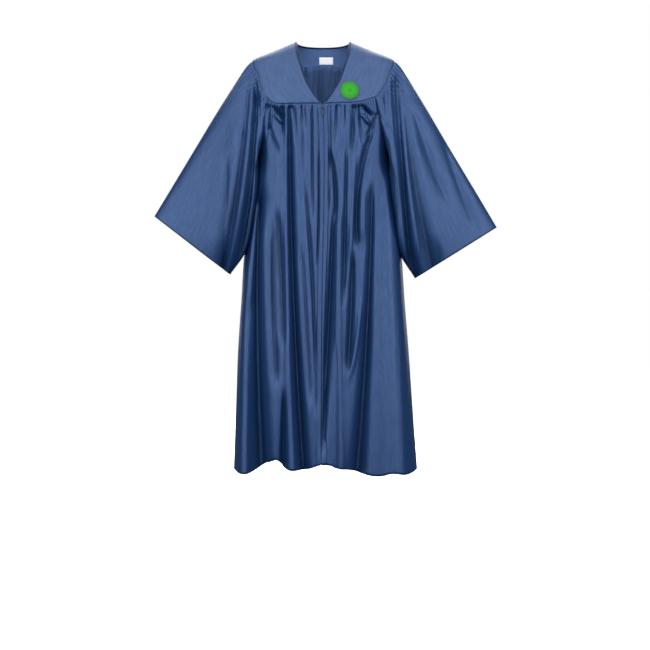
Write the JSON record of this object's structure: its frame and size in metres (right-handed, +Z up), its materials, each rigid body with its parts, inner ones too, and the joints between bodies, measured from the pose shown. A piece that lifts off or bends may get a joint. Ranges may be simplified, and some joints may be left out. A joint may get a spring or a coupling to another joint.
{
  "type": "graduation gown",
  "caption": "Long satin graduation gown with a flat yoke, V neck, wide bell sleeves, a gathered body and a front zip, filled out and hollow as if worn.",
  "frame": {"origin": "middle of the neck opening at shoulder height, where the gown is held by its shoulders", "axes": "+Z up, the front faces -Y, +X is the wearer's left"},
  "size_m": [0.9904, 0.35, 1.2397],
  "materials": {
    "satin": "navy satin with a soft sheen",
    "yoke_satin": "navy satin, lined and flatter",
    "binding": "dark binding",
    "tape": "woven navy zip tape",
    "coil": "nylon coil",
    "metal": "bright plated metal",
    "label": "white woven label, blank",
    "patch": "plain green badge"
  },
  "bodies": {
    "gown": {"back": "satin", "front_left": "satin", "front_right": "satin", "label": "label", "neck_binding": "binding", "patch": "patch", "sleeve_left": "satin", "sleeve_right": "satin", "yoke_back": "yoke_satin", "yoke_front_left": "yoke_satin", "yoke_front_right": "yoke_satin", "zip_coil": "coil", "zip_slider": "metal", "zip_tape_left": "tape", "zip_tape_right": "tape"},
    "pull": {"zip_pull": "metal"}
  },
  "joints": [
    {"name": "pull_tab_swing", "type": "hinge", "parent": "gown", "child": "pull", "pos_m": [-0.00042, -0.11959, -0.21238], "axis": [-1, 0, 0], "range_deg": [0, 140]}
  ]
}
